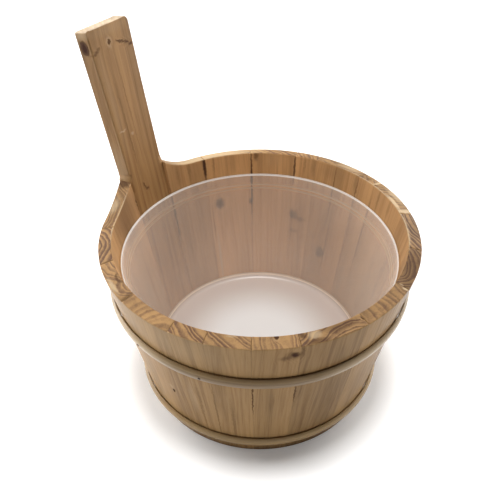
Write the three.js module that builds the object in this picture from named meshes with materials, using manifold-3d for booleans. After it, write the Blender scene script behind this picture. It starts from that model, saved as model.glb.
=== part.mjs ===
// Sauna bucket, modelled in millimetres with +Z up: a coopered tub of tapered softwood staves,
// one of them left long as the handle, held by two half-round wooden hoops over a boarded
// bottom, with a loose plastic liner that lifts out.
import * as THREE from "three";
import { mergeVertices } from "three/addons/utils/BufferGeometryUtils.js";
import Module from "manifold-3d";

// Tub wall
const rimRadius = 132; // outer edge of the rim
const footRadius = 103; // outer edge of the staves' feet, on the floor
const rimHeight = 158; // outer edge of the rim above the floor
const staveThickness = 11;
const rimEase = 0.8; // eased edges along the rim
const jointGap = 0.3; // glue line between neighbouring pieces of wood
const ringSides = 72; // facets around everything that is turned

// Staves of random width at the rim, left-hand flank first and round to the right-hand flank
const staveWidths = [
  53, 47.5, 47.5, 47.5, 28, 33.5, 34.5, 53, 49.5, 49.5, 49.5, 50, 21, 52, 23.5, 47.5, 50.5, 46,
];

// Handle stave, flat inside, whose grip is a board that leans with the wall
const handleThickness = 12;
const handleRimWidth = 41.5;
const handleShoulder = 0.3; // the stave is this much wider than the grip at each joint
const handleTopWidth = 46.5;
const handleLength = 143; // above the rim, along the lean
const handleCornerRadius = 4.5;
const handleEase = 1.5; // eased edges of the grip
const handleRunOut = 4; // height over which the turned wall runs out into the flat back

// Swept shoulders of the two flank staves: length along the rim and rise at the handle
const leftSweepRun = 40;
const leftSweepRise = 14.5;
const rightSweepRun = 34;
const rightSweepRise = 14.5;
const sweepOverrun = 3; // the sweep runs on this far before the handle's seat trims it

// Bottom, let into a groove around the staves
const bottomRecess = 11; // underside above the floor
const bottomThickness = 13.5;
const bottomBoards = 4;
const grooveDepth = 4;
const grooveClearance = 0.25; // above and below the boards
const bottomShrinkage = 0.5; // room left at the groove's floor

// Half-round hoops
const hoopProud = 3.7;
const upperHoopWidth = 11.4;
const lowerHoopWidth = 9.8;
const upperHoopHeight = 114.8; // middle of the hoop above the floor
const lowerHoopHeight = 18.2;
const hoopSeat = 0.3; // between hoop and staves
const scarfLength = 20; // slanted cut where a hoop's two ends meet
const upperScarfAngle = 20;
const lowerScarfAngle = 45;

// Brads through the hoops, with their places around the tub counted from +X
const bradShankRadius = 0.7;
const bradHeadRadius = 1.3;
const bradHeadThickness = 0.8;
const bradLength = 11;
const bradClearance = 0.3;
const upperBradAngles = [167.2, 193.9, 14, 26];
const lowerBradAngles = [39, 51];

// Liner, a moulded cup with a turned-out lip and a stacking step
const linerRimHeight = 139.7; // above the floor
const linerRimClearance = 1.2; // between lip and staves
const linerWall = 1.4;
const linerLipWidth = 1.6;
const linerLipHeight = 2.4;
const linerLipFlare = 0.5; // rise of the lip's underside as it turns out
const linerLipEase = 0.7; // rounding along the lip's top
const linerStepDepth = 13; // stacking step below the lip's top
const linerStep = 0.8;
const linerBandTaper = 2.2; // the band above the step narrows by this much
const linerFootClearance = 3.5; // between its lower corner and the staves
const linerCornerRadius = 6;
const linerSeat = 0.3; // between liner and bottom boards

const degree = Math.PI / 180;
const lean = Math.atan2(rimRadius - footRadius, rimHeight);
const wallLength = Math.hypot(rimRadius - footRadius, rimHeight);
const handleAngle = 90 * degree; // the handle stands at +Y
const throughWall = 2 * staveThickness; // reach of a cut that has to pass the wall
const wedgeReach = 2 * rimRadius;

// Radius and height of a point in the wall: depth in from the outer face, distance up the slope.
function wallPoint(depth, along) {
  return new THREE.Vector2(
    footRadius + along * Math.sin(lean) - depth * Math.cos(lean),
    along * Math.cos(lean) + depth * Math.sin(lean),
  );
}

function outerRadius(height) {
  return footRadius + height * Math.tan(lean);
}

function innerRadius(height) {
  return outerRadius(height) - staveThickness / Math.cos(lean);
}

const rimInside = wallPoint(staveThickness, wallLength);
const handleHalfAngle = Math.asin((handleRimWidth / 2 + handleShoulder) / rimInside.x);
const bottomTop = bottomRecess + bottomThickness;
const grooveRadius = innerRadius(bottomRecess) + grooveDepth;

const wasm = await Module();
wasm.setup();

// A closed geometry as a solid that can be joined and cut.
function solidOf(geometry) {
  geometry.deleteAttribute("normal");
  geometry.deleteAttribute("uv");
  const merged = mergeVertices(geometry);
  return new wasm.Manifold(
    new wasm.Mesh({
      numProp: 3,
      vertProperties: merged.attributes.position.array,
      triVerts: new Uint32Array(merged.index.array),
    }),
  );
}

function geometryOf(solid) {
  const mesh = solid.getMesh();
  return new THREE.BufferGeometry()
    .setAttribute("position", new THREE.BufferAttribute(mesh.vertProperties, 3))
    .setIndex(new THREE.BufferAttribute(mesh.triVerts, 1));
}

// A solid turned about the tub's axis; the profile runs up its outer side.
function turned(profile) {
  return solidOf(new THREE.LatheGeometry(profile, ringSides).rotateX(Math.PI / 2));
}

function ringProfile(points) {
  return [...points, points[0].clone()];
}

// Tub wall as one ring with square-cut rim, level feet and the groove for the bottom.
function wallRing(extraHeight) {
  const top = wallLength + extraHeight;
  const groove = [
    new THREE.Vector2(innerRadius(bottomTop + grooveClearance), bottomTop + grooveClearance),
    new THREE.Vector2(grooveRadius, bottomTop + grooveClearance),
    new THREE.Vector2(grooveRadius, bottomRecess - grooveClearance),
    new THREE.Vector2(innerRadius(bottomRecess - grooveClearance), bottomRecess - grooveClearance),
  ];
  return turned(
    ringProfile([
      new THREE.Vector2(footRadius, 0),
      wallPoint(0, top - rimEase),
      wallPoint(rimEase, top),
      wallPoint(staveThickness - rimEase, top),
      wallPoint(staveThickness, top - rimEase),
      ...groove,
      new THREE.Vector2(innerRadius(0), 0),
    ]),
  );
}

// The slice of the tub between two joints, half a glue line short of each.
function wedge(from, to) {
  const half = (to - from) / 2;
  const apex = jointGap / 2 / Math.sin(half);
  const shape = new THREE.Shape([
    new THREE.Vector2(apex, 0),
    new THREE.Vector2(apex + wedgeReach * Math.cos(half), -wedgeReach * Math.sin(half)),
    new THREE.Vector2(apex + wedgeReach * Math.cos(half), wedgeReach * Math.sin(half)),
  ]);
  const height = rimHeight + handleLength;
  const slice = new THREE.ExtrudeGeometry(shape, { depth: height, bevelEnabled: false });
  return solidOf(slice.rotateZ((from + to) / 2));
}

// Puts a shape drawn flat, across and up the slope from the rim, on the wall at an angle.
function onWall(geometry, angle) {
  return geometry
    .rotateX(Math.PI / 2 - lean)
    .translate(0, rimInside.x, rimInside.y)
    .rotateZ(angle - handleAngle);
}

// Half the grip's width at a place on the slope, counted from the rim.
function gripHalfWidth(along) {
  const flare = (handleTopWidth - handleRimWidth) / handleLength;
  return (handleRimWidth + flare * along) / 2;
}

// Grip, rooted in the wall, with rounded top corners and eased edges.
function handleGrip() {
  const root = -staveThickness;
  const foot = gripHalfWidth(root);
  const half = gripHalfWidth(handleLength);
  const corner = handleCornerRadius;
  const shape = new THREE.Shape();
  shape.moveTo(-foot, root);
  shape.lineTo(foot, root);
  shape.lineTo(half, handleLength - corner);
  shape.absarc(half - corner, handleLength - corner, corner, 0, Math.PI / 2);
  shape.lineTo(corner - half, handleLength);
  shape.absarc(corner - half, handleLength - corner, corner, Math.PI / 2, Math.PI);
  const grip = new THREE.ExtrudeGeometry(shape, {
    depth: handleThickness - 2 * handleEase,
    bevelThickness: handleEase,
    bevelSize: handleEase,
    bevelOffset: -handleEase,
    bevelSegments: 2,
    curveSegments: 4,
  });
  return solidOf(onWall(grip.translate(0, 0, handleEase - handleThickness), handleAngle));
}

// Room that the grip needs beside the flank staves.
function gripSeat() {
  const foot = gripHalfWidth(0) + jointGap;
  const top = gripHalfWidth(handleLength) + jointGap;
  const shape = new THREE.Shape([
    new THREE.Vector2(-foot, 0),
    new THREE.Vector2(foot, 0),
    new THREE.Vector2(top, handleLength),
    new THREE.Vector2(-top, handleLength),
  ]);
  const depth = handleThickness + 2 * throughWall;
  const seat = new THREE.ExtrudeGeometry(shape, { depth, bevelEnabled: false });
  return solidOf(onWall(seat.translate(0, 0, -handleThickness - throughWall), handleAngle));
}

// Wall under the hollow sweep from the rim up to the grip; side is 1 left, -1 right.
function sweptShoulder(side, run, rise) {
  const radius = (run * run + rise * rise) / (2 * rise);
  const steps = 10;
  const reach = Math.asin(Math.min(1, (run + sweepOverrun) / radius));
  const sweep = Array.from({ length: steps + 1 }, (_, i) => {
    const turn = (reach * i) / steps;
    return new THREE.Vector2(side * radius * Math.sin(turn), radius * (1 - Math.cos(turn)));
  });
  const end = sweep[steps];
  const shape = new THREE.Shape([
    ...sweep,
    new THREE.Vector2(end.x, -throughWall),
    new THREE.Vector2(0, -throughWall),
  ]);
  const under = new THREE.ExtrudeGeometry(shape, {
    depth: staveThickness + 2 * throughWall,
    bevelEnabled: false,
  });
  const start = handleAngle + side * (handleHalfAngle + run / rimRadius);
  const region = solidOf(onWall(under.translate(0, 0, -staveThickness - throughWall), start));
  return wallRing(radius).intersect(region);
}

const leftShoulder = sweptShoulder(1, leftSweepRun, leftSweepRise);
const rightShoulder = sweptShoulder(-1, rightSweepRun, rightSweepRise);

// Handle stave: planed flat inside, turned with the tub outside up to a run-out above the flanks.
function handleStave() {
  const front = new THREE.BoxGeometry(wedgeReach, 2 * wallLength, wedgeReach);
  const behindFront = solidOf(onWall(front.translate(0, 0, -wedgeReach / 2), handleAngle));
  const wall = wallRing(0).add(leftShoulder).add(rightShoulder);
  const slice = wedge(handleAngle - handleHalfAngle, handleAngle + handleHalfAngle);
  const runOut = wallPoint(0, wallLength + Math.max(leftSweepRise, rightSweepRise));
  const swell = handleThickness * Math.cos(lean);
  const turnedSide = turned([
    new THREE.Vector2(0, 0),
    new THREE.Vector2(footRadius, 0),
    runOut,
    new THREE.Vector2(runOut.x + swell, runOut.y + handleRunOut),
    new THREE.Vector2(runOut.x + handleLength, runOut.y + handleLength),
    new THREE.Vector2(0, runOut.y + handleLength),
  ]);
  const stave = wall.intersect(slice).intersect(behindFront);
  return stave.add(handleGrip().intersect(turnedSide));
}

// Flank stave, which rises in its half of the sweep; side is 1 left, -1 right.
function flankStave(side, joint, shoulder) {
  const near = handleAngle + side * handleHalfAngle;
  const slice = wedge(Math.min(near, joint), Math.max(near, joint));
  return wallRing(0).add(shoulder).intersect(slice).subtract(gripSeat());
}

// Joints around the tub, from the handle's left edge to its right edge.
function staveJoints() {
  const total = staveWidths.reduce((sum, width) => sum + width, 0);
  const share = (2 * Math.PI - 2 * handleHalfAngle) / total;
  const joints = [handleAngle + handleHalfAngle];
  for (const width of staveWidths) joints.push(joints.at(-1) + width * share);
  return joints;
}

function bottomBoard(index) {
  const radius = grooveRadius - bottomShrinkage;
  const disc = turned([
    new THREE.Vector2(0, bottomRecess),
    new THREE.Vector2(radius, bottomRecess),
    new THREE.Vector2(radius, bottomTop),
    new THREE.Vector2(0, bottomTop),
  ]);
  const width = (2 * radius) / bottomBoards;
  const strip = new THREE.BoxGeometry(wedgeReach, width - jointGap, wedgeReach);
  return disc.intersect(solidOf(strip.translate(0, width * (index + 0.5) - radius, 0)));
}

// Distance up the slope of a height on the outer face.
function alongAt(height) {
  return height / Math.cos(lean);
}

// Half-round hoop bent round the tub, its ends meeting in a slanted scarf.
function hoop(height, width, scarfAngle) {
  const steps = 8;
  const middle = alongAt(height);
  const profile = Array.from({ length: steps + 1 }, (_, i) => {
    const turn = Math.PI * (i / steps - 0.5);
    const out = hoopSeat + hoopProud * Math.cos(turn);
    return wallPoint(-out, middle + (width / 2) * Math.sin(turn));
  });
  const saw = new THREE.BoxGeometry(2 * scarfLength, jointGap, 2 * width);
  const slant = Math.atan2(hoopProud, scarfLength);
  const at = wallPoint(-hoopSeat - hoopProud / 2, middle);
  saw.rotateZ(slant).translate(0, at.x, at.y).rotateZ(scarfAngle * degree - handleAngle);
  return turned(ringProfile(profile)).subtract(solidOf(saw));
}

// Brad driven square to the wall through a hoop; growth makes the hole that it sits in.
function brad(hoopHeight, angle, growth) {
  const head = bradHeadRadius + growth;
  const shank = bradShankRadius + growth;
  const profile = [
    new THREE.Vector2(0, -bradLength - growth),
    new THREE.Vector2(shank, -bradLength - growth),
    new THREE.Vector2(shank, -bradHeadThickness - growth),
    new THREE.Vector2(head, -bradHeadThickness - growth),
    new THREE.Vector2(head, growth),
    new THREE.Vector2(0, growth),
  ];
  const crest = wallPoint(-hoopSeat - hoopProud, alongAt(hoopHeight));
  const turnedBrad = new THREE.LatheGeometry(profile, 8);
  return solidOf(
    turnedBrad
      .rotateX(-lean)
      .translate(0, crest.x, crest.y)
      .rotateZ(angle * degree - handleAngle),
  );
}

// Liner profile: up the outside from the middle of the floor, over the lip and down the inside.
function liner() {
  const base = bottomTop + linerSeat;
  const lip = innerRadius(linerRimHeight) - linerRimClearance;
  const band = lip - linerLipWidth;
  const step = linerRimHeight - linerStepDepth;
  const bandFoot = band - linerBandTaper;
  const wallTop = bandFoot - linerStep;
  const cornerTop = base + linerCornerRadius;
  const floorRadius = innerRadius(cornerTop) - linerFootClearance - linerCornerRadius;
  const arcSteps = 4;
  const arc = Array.from({ length: arcSteps + 1 }, (_, i) => (Math.PI / 2) * (i / arcSteps));
  const corner = (radius) =>
    arc.map(
      (turn) =>
        new THREE.Vector2(
          floorRadius + radius * Math.sin(turn),
          cornerTop - radius * Math.cos(turn),
        ),
    );
  return turned([
    new THREE.Vector2(0, base),
    ...corner(linerCornerRadius),
    new THREE.Vector2(wallTop, step - linerStep),
    new THREE.Vector2(bandFoot, step),
    new THREE.Vector2(band, linerRimHeight - linerLipHeight),
    new THREE.Vector2(lip, linerRimHeight - linerLipHeight + linerLipFlare),
    new THREE.Vector2(lip, linerRimHeight - linerLipEase),
    new THREE.Vector2(lip - linerLipWidth / 2, linerRimHeight),
    new THREE.Vector2(band - linerWall / 2, linerRimHeight),
    new THREE.Vector2(band - linerWall, linerRimHeight - linerLipEase),
    new THREE.Vector2(bandFoot - linerWall, step),
    new THREE.Vector2(wallTop - linerWall, step - linerStep),
    ...corner(linerCornerRadius - linerWall).reverse(),
    new THREE.Vector2(0, base + linerWall),
  ]);
}

const bucket = new THREE.Group();

function addPiece(name, solid, material) {
  const mesh = new THREE.Mesh(geometryOf(solid), material);
  mesh.name = name;
  bucket.add(mesh);
}

function wood(colour) {
  return new THREE.MeshStandardMaterial({ color: colour, roughness: 0.55, metalness: 0 });
}

const brads = [
  ...upperBradAngles.map((angle, i) => ["upper_hoop_brad_" + (i + 1), upperHoopHeight, angle]),
  ...lowerBradAngles.map((angle, i) => ["lower_hoop_brad_" + (i + 1), lowerHoopHeight, angle]),
];
const bradHoles = brads.map(([, height, angle]) => brad(height, angle, bradClearance));

function drilled(solid) {
  return bradHoles.reduce((left, hole) => left.subtract(hole), solid);
}

const joints = staveJoints();
const last = staveWidths.length - 1;
const staveTones = [0xa5845a, 0x9a7a52, 0xb08d60];

addPiece("handle_stave", drilled(handleStave()), wood(0x9c774c));
addPiece(
  "left_flank_stave",
  drilled(flankStave(1, joints[1], leftShoulder)),
  wood(staveTones[0]),
);
addPiece(
  "right_flank_stave",
  drilled(flankStave(-1, joints[last] - 2 * Math.PI, rightShoulder)),
  wood(staveTones[1]),
);
const ring = wallRing(0);
for (let i = 1; i < last; i++) {
  const name = "stave_" + String(i).padStart(2, "0");
  const stave = ring.intersect(wedge(joints[i], joints[i + 1]));
  addPiece(name, drilled(stave), wood(staveTones[i % staveTones.length]));
}
for (let i = 0; i < bottomBoards; i++) {
  addPiece("bottom_board_" + (i + 1), drilled(bottomBoard(i)), wood(0xb9986c));
}
const upperHoop = hoop(upperHoopHeight, upperHoopWidth, upperScarfAngle);
const lowerHoop = hoop(lowerHoopHeight, lowerHoopWidth, lowerScarfAngle);
addPiece("upper_hoop", drilled(upperHoop), wood(0xa08a62));
addPiece("lower_hoop", drilled(lowerHoop), wood(0xa08a62));
for (const [name, height, angle] of brads) {
  const steel = new THREE.MeshStandardMaterial({ color: 0x3a3128, roughness: 0.5, metalness: 0.8 });
  addPiece(name, brad(height, angle, 0), steel);
}
addPiece(
  "liner",
  liner(),
  new THREE.MeshStandardMaterial({
    color: 0xe6e1dc,
    roughness: 0.35,
    metalness: 0,
    transparent: true,
    opacity: 0.45,
  }),
);

// The origin is on the floor under the middle of the bucket's outline, handle included.
const outline = new THREE.Box3().setFromObject(bucket);
bucket.position.y = -(outline.min.y + outline.max.y) / 2;
const part = new THREE.Group();
part.add(bucket);

export default part;
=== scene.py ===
# Sauna bucket: a coopered softwood tub whose one long stave is the handle, with two bent-wood
# hoops, a boarded bottom and a loose milky liner. Metres, +Z up, the handle at +Y.
import cmath
import math

import bmesh
import bpy
from mathutils import Euler, Matrix, Vector, geometry


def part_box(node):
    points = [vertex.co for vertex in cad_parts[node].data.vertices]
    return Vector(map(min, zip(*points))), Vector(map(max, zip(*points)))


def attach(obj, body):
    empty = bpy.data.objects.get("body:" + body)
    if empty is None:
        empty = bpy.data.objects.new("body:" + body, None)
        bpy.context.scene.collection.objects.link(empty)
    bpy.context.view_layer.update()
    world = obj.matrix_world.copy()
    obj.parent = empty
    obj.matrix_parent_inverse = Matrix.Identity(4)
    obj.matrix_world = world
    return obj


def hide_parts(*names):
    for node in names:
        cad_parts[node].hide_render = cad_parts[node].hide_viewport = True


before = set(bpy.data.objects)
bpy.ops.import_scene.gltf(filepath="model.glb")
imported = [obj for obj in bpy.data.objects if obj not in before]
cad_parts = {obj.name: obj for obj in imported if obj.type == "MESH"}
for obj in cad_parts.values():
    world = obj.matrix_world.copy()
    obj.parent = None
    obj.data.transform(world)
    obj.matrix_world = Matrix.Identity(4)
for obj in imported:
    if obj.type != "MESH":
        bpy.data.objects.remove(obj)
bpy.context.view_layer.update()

# Plain staves
# Tapered softwood boards of random width, rounded outside and hollowed inside, glued edge to edge.
# Their square-cut tops make the rim, where every board shows the growth rings of its own log.
rim_radius = 0.132
foot_radius = 0.103
rim_height = 0.158
stave_thickness = 0.011
rim_ease = 0.0009
joint_ease = 0.00005
joint_swelling = 0.00011
groove_radius = 0.0978
near_rim = rim_height - 0.001
shortest_arris = 0.008
sharp_angle = math.radians(35)
stave_step = math.radians(1.2)
grain_slope = 0.03
lean = math.atan2(rim_radius - foot_radius, rim_height)
wall_length = math.hypot(rim_radius - foot_radius, rim_height)
liner_low, liner_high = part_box("liner")
tub_axis = Vector(((liner_low.x + liner_high.x) / 2, (liner_low.y + liner_high.y) / 2, 0))
bottom_low, bottom_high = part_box("bottom_board_2")

# Log of each stave: the pith's place across and out from the middle of the board's inner rim edge,
# the distance between growth rings, how dark they are, and the board's own tone.
stave_logs = {
    "left_flank_stave": (0.012, 0.030, 0.0040, 0.6, -0.4),
    "stave_01": (0.001, 0.034, 0.0042, 0.9, -0.3),
    "stave_02": (-0.022, -0.075, 0.0040, 0.8, 0.0),
    "stave_03": (0.026, 0.018, 0.0050, 0.45, 0.3),
    "stave_04": (0.052, -0.072, 0.0036, 1.0, 0.0),
    "stave_05": (0.060, -0.074, 0.0042, 0.8, 0.15),
    "stave_06": (-0.085, 0.010, 0.0040, 0.60, 0.1),
    "stave_07": (0.011, 0.041, 0.0034, 0.9, -0.05),
    "stave_08": (0.085, 0.012, 0.0054, 0.55, -0.35),
    "stave_09": (-0.003, -0.013, 0.0032, 0.8, -0.8),
    "stave_10": (0.017, 0.050, 0.0034, 1.2, -0.4),
    "stave_11": (0.070, 0.040, 0.0044, 0.6, -0.6),
    "stave_12": (-0.040, 0.050, 0.0046, 0.6, -0.4),
    "stave_13": (0.010, 0.070, 0.0050, 0.6, -0.5),
    "stave_14": (0.060, -0.020, 0.0040, 0.6, 0.1),
    "stave_15": (-0.050, 0.060, 0.0046, 0.7, 0.25),
    "stave_16": (0.020, -0.060, 0.0050, 0.6, 0.6),
    "right_flank_stave": (-0.015, 0.080, 0.0060, 0.5, -0.8),
}

# How much paler some boards are outside than on the rim, at the top and at the foot, below 0 if
# darker.
outside_tones = {
    "stave_02": (0.1, 0.3),
    "stave_03": (-0.15, -0.2),
    "stave_06": (0.0, -0.25),
    "stave_07": (-0.2, -0.5),
    "stave_08": (0.2, 0.2),
}


def wall_point(depth, along):
    """Radius and height of a place in the wall: depth in from its outer face, way up its slope."""
    radius = foot_radius + along * math.sin(lean) - depth * math.cos(lean)
    return radius, along * math.cos(lean) + depth * math.sin(lean)


def inner_radius(height):
    return foot_radius + height * math.tan(lean) - stave_thickness / math.cos(lean)


def around(radius, angle, height):
    """Place at an angle about the tub's axis."""
    return tub_axis + Vector((radius * math.cos(angle), radius * math.sin(angle), height))


def span(name):
    """Angle about the tub's axis where a piece of the wall starts, and the angle that it covers."""
    places = [vertex.co - tub_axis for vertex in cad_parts[name].data.vertices]
    low = [complex(place.x, place.y) for place in places if place.z < rim_height]
    middle = sum(low)
    turns = [cmath.phase(place / middle) for place in low]
    swelling = joint_swelling / rim_radius
    start = cmath.phase(middle) % math.tau + min(turns) - swelling
    return start, max(turns) - min(turns) + 2 * swelling


def board_frame(angle):
    """Axes of a board of the wall: across, outwards and up the slope from its inner rim edge."""
    radius, height = wall_point(stave_thickness, wall_length)
    across = Vector((-math.sin(angle), math.cos(angle), 0))
    up = Vector((math.cos(angle) * math.sin(lean), math.sin(angle) * math.sin(lean), math.cos(lean)))
    out = across.cross(up)
    axes = Matrix((across, out, up)).transposed().to_4x4()
    return Matrix.Translation(around(radius, angle, height)) @ axes


def spin(bm, centre, sweep, steps, closed):
    """Sweeps all of a bmesh about an upright axis."""
    bmesh.ops.spin(
        bm,
        geom=bm.verts[:] + bm.edges[:] + bm.faces[:],
        cent=centre,
        axis=(0, 0, 1),
        dvec=(0, 0, 0),
        angle=sweep,
        steps=steps,
        use_merge=closed,
        use_duplicate=False,
    )


def turn(outline, start, sweep, steps):
    """Turns a closed outline of radius and height points about the tub's axis."""
    bm = bmesh.new()
    bm.faces.new([bm.verts.new(around(radius, start, height)) for radius, height in outline])
    spin(bm, tub_axis, sweep, steps, closed=False)
    bmesh.ops.recalc_face_normals(bm, faces=bm.faces)
    return bm


def wall_slice(start, sweep, step, spare=0):
    """Slice of the tub's wall between two joints, with the bottom's groove and spare wood inside."""
    outline = [
        (foot_radius, 0),
        wall_point(0, wall_length),
        wall_point(stave_thickness + spare, wall_length),
        (inner_radius(bottom_high.z) - spare, bottom_high.z),
        (groove_radius, bottom_high.z),
        (groove_radius, bottom_low.z),
        (inner_radius(bottom_low.z) - spare, bottom_low.z),
        (inner_radius(0) - spare, 0),
    ]
    return turn(outline, start, sweep, math.ceil(sweep / step))


def ease(bm, edges, width, segments):
    """Rounds edges over, and gives the new faces."""
    eased = bmesh.ops.bevel(
        bm,
        geom=edges,
        offset=width,
        offset_type="OFFSET",
        affect="EDGES",
        segments=segments,
        profile=0.5,
        material=-1,
    )
    return eased["faces"]


def sharp_edges(bm):
    return [edge for edge in bm.edges if edge.is_manifold and edge.calc_face_angle() > sharp_angle]


def above(height):
    """Test for edges and faces that lie wholly above a height."""
    return lambda element: all(vertex.co.z > height for vertex in element.verts)


def way_faced(face):
    """How far a face of the wall looks up, and how far outwards, from -1 to 1."""
    normal = geometry.normal([vertex.co for vertex in face.verts])
    middle = face.calc_center_median() - tub_axis
    return normal.z, Vector((middle.x, middle.y, 0)).normalized().dot(normal)


def sort_faces(faces):
    """Gives a board's outside, inside and end grain their own material; the outside and inside are
    copies of one wood, the outside darker and greyer as painted shade and the inside paler as painted
    light.
    """
    for face in faces:
        up, outwards = way_faced(face)
        face.material_index = 0
        if abs(up) > 0.6:
            face.material_index = 2
        elif outwards < -0.5:
            face.material_index = 1


def ease_board(bm):
    """Sands the rim's two long edges round and takes the sharpness off the others."""
    rounded = ease(bm, [edge for edge in sharp_edges(bm) if above(near_rim)(edge)], rim_ease, 3)
    sort_faces([face for face in rounded if abs(way_faced(face)[1]) > 0.5])
    arrises = [edge for edge in sharp_edges(bm) if edge.calc_length() > shortest_arris]
    ease(bm, arrises, joint_ease, 2)


def new_layers(bm, *labels):
    return [bm.verts.layers.float_vector.new(label) for label in labels]


def mark_grain(bm, angle, log):
    """Writes each place's way from the pith and in the wall, and the rings' spacing, depth and tone."""
    pith_across, pith_out, spacing, depth, tone = log
    grain, rings, wall = new_layers(bm, "grain", "rings", "wall")
    into_board = board_frame(angle).inverted()
    # The stretch of log and the slope of its grain follow from the pith, so they differ by board.
    stretch = 31 * pith_across + 17 * pith_out
    away = Vector((pith_across, pith_out, stretch))
    slope = grain_slope * math.sin(900 * pith_across)
    for vertex in bm.verts:
        local = into_board @ vertex.co
        vertex[grain] = local - away + slope * local.z * Vector((1, 0.4, 0))
        vertex[rings] = (spacing, depth, tone)
        flat = vertex.co - tub_axis
        radius = math.hypot(flat.x, flat.y)
        turned = angle + cmath.phase(complex(flat.x, flat.y) / cmath.rect(1, angle))
        out = (radius - inner_radius(flat.z)) * math.cos(lean)
        along = (radius - foot_radius) * math.sin(lean) + flat.z * math.cos(lean)
        vertex[wall] = (rim_radius * turned, out, along)


def add_object(name, data):
    made = bpy.data.objects.new(name, data)
    bpy.context.scene.collection.objects.link(made)
    return made


def make_piece(bm, node_name, body, slot, *materials):
    """Turns a finished bmesh into a piece that stands for a CAD node and moves with its body."""
    name = "dressed_" + node_name
    mesh = bpy.data.meshes.new(name)
    bm.to_mesh(mesh)
    bm.free()
    mesh.shade_smooth()
    for material in materials:
        mesh.materials.append(material)
    piece = add_object(name, mesh)
    piece.modifiers.new("flat faces stay flat", "WEIGHTED_NORMAL")
    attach(piece, body)
    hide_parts(node_name)


def shader_node(tree, kind, inputs, **settings):
    """Shader node with its settings; an input is a value or another node's output."""
    made = tree.nodes.new("ShaderNode" + kind)
    for key, value in settings.items():
        setattr(made, key, value)
    for key, value in inputs.items():
        if isinstance(value, bpy.types.NodeSocket):
            tree.links.new(value, made.inputs[key])
        else:
            made.inputs[key].default_value = value
    return made


def maths(tree, operation, *values):
    return shader_node(tree, "Math", dict(enumerate(values)), operation=operation).outputs[0]


def vector_maths(tree, operation, *values):
    made = shader_node(tree, "VectorMath", dict(enumerate(values)), operation=operation)
    return made.outputs["Value" if operation == "LENGTH" else "Vector"]


def smooth_step(tree, value, low, high):
    """0 below low, 1 above high, and a smooth rise between."""
    ranges = {"Value": value, "From Min": low, "From Max": high}
    return shader_node(tree, "MapRange", ranges, interpolation_type="SMOOTHSTEP").outputs["Result"]


def noise(tree, vector, scale, detail):
    inputs = {"Vector": vector, "Scale": scale, "Detail": detail}
    return shader_node(tree, "TexNoise", inputs)


def mix(tree, factor, first, second):
    """Blend of two colours; each is a colour or another node's output."""
    inputs = {"Factor": factor, "A": first, "B": second}
    return shader_node(tree, "Mix", inputs, data_type="RGBA").outputs["Result"]


def place_group(tree, group, inputs):
    """Node group with its inputs, set as a shader node's are."""
    return shader_node(tree, "Group", inputs, node_tree=group)


def node_group(name, inputs, outputs):
    """Empty shader group with named sockets, and its inner ends."""
    group = bpy.data.node_groups.new(name, "ShaderNodeTree")
    for label, kind in inputs.items():
        group.interface.new_socket(label, in_out="INPUT", socket_type="NodeSocket" + kind)
    for label in outputs:
        group.interface.new_socket(label, in_out="OUTPUT", socket_type="NodeSocketFloat")
    return group, group.nodes.new("NodeGroupInput").outputs, group.nodes.new("NodeGroupOutput").inputs


def growth_ring_group():
    """Growth rings about the pith, long streaks, fine fibres and broad figure of sawn softwood."""
    group, given, result = node_group(
        "growth rings",
        {"Grain": "Vector", "Spacing": "Float", "Swell": "Float"},
        ["Rings", "Streaks", "Fibre", "Figure"],
    )
    ring_wander = 0.014
    uneven_years = 1.5
    faintest_year = 0.5
    slow = vector_maths(group, "MULTIPLY", given["Grain"], (1, 1, 0.12))
    wave = vector_maths(group, "SUBTRACT", noise(group, slow, 30, 3).outputs["Color"], (0.5, 0.5, 0.5))
    bend = vector_maths(group, "MULTIPLY", wave, (ring_wander, ring_wander, 0))
    bent = vector_maths(group, "ADD", given["Grain"], bend)
    radius = vector_maths(group, "LENGTH", vector_maths(group, "MULTIPLY", bent, (1, 1, 0)))
    swollen = maths(group, "ADD", radius, given["Swell"])
    count = maths(group, "DIVIDE", swollen, given["Spacing"])
    uneven = shader_node(
        group,
        "TexNoise",
        {"W": maths(group, "MULTIPLY", count, 0.6), "Scale": 1, "Detail": 1},
        noise_dimensions="1D",
    )
    year = maths(group, "MULTIPLY_ADD", uneven.outputs["Fac"], uneven_years, count)
    season = maths(group, "FRACT", year)
    rise = smooth_step(group, season, 0.05, 0.62)
    fall = smooth_step(group, season, 1.0, 0.78)
    number = maths(group, "FLOOR", year)
    luck = shader_node(group, "TexWhiteNoise", {"W": number}, noise_dimensions="1D").outputs["Value"]
    strength = maths(group, "MULTIPLY_ADD", luck, 1 - faintest_year, faintest_year)
    band = maths(group, "MULTIPLY", maths(group, "MULTIPLY", rise, fall), strength)
    group.links.new(band, result["Rings"])
    long = vector_maths(group, "MULTIPLY", bent, (1, 1, 0.016))
    group.links.new(noise(group, long, 260, 3).outputs["Fac"], result["Streaks"])
    fine = vector_maths(group, "MULTIPLY", bent, (1, 1, 0.035))
    group.links.new(noise(group, fine, 1000, 4).outputs["Fac"], result["Fibre"])
    group.links.new(noise(group, slow, 45, 2).outputs["Fac"], result["Figure"])
    return group


growth_rings = growth_ring_group()


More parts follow.
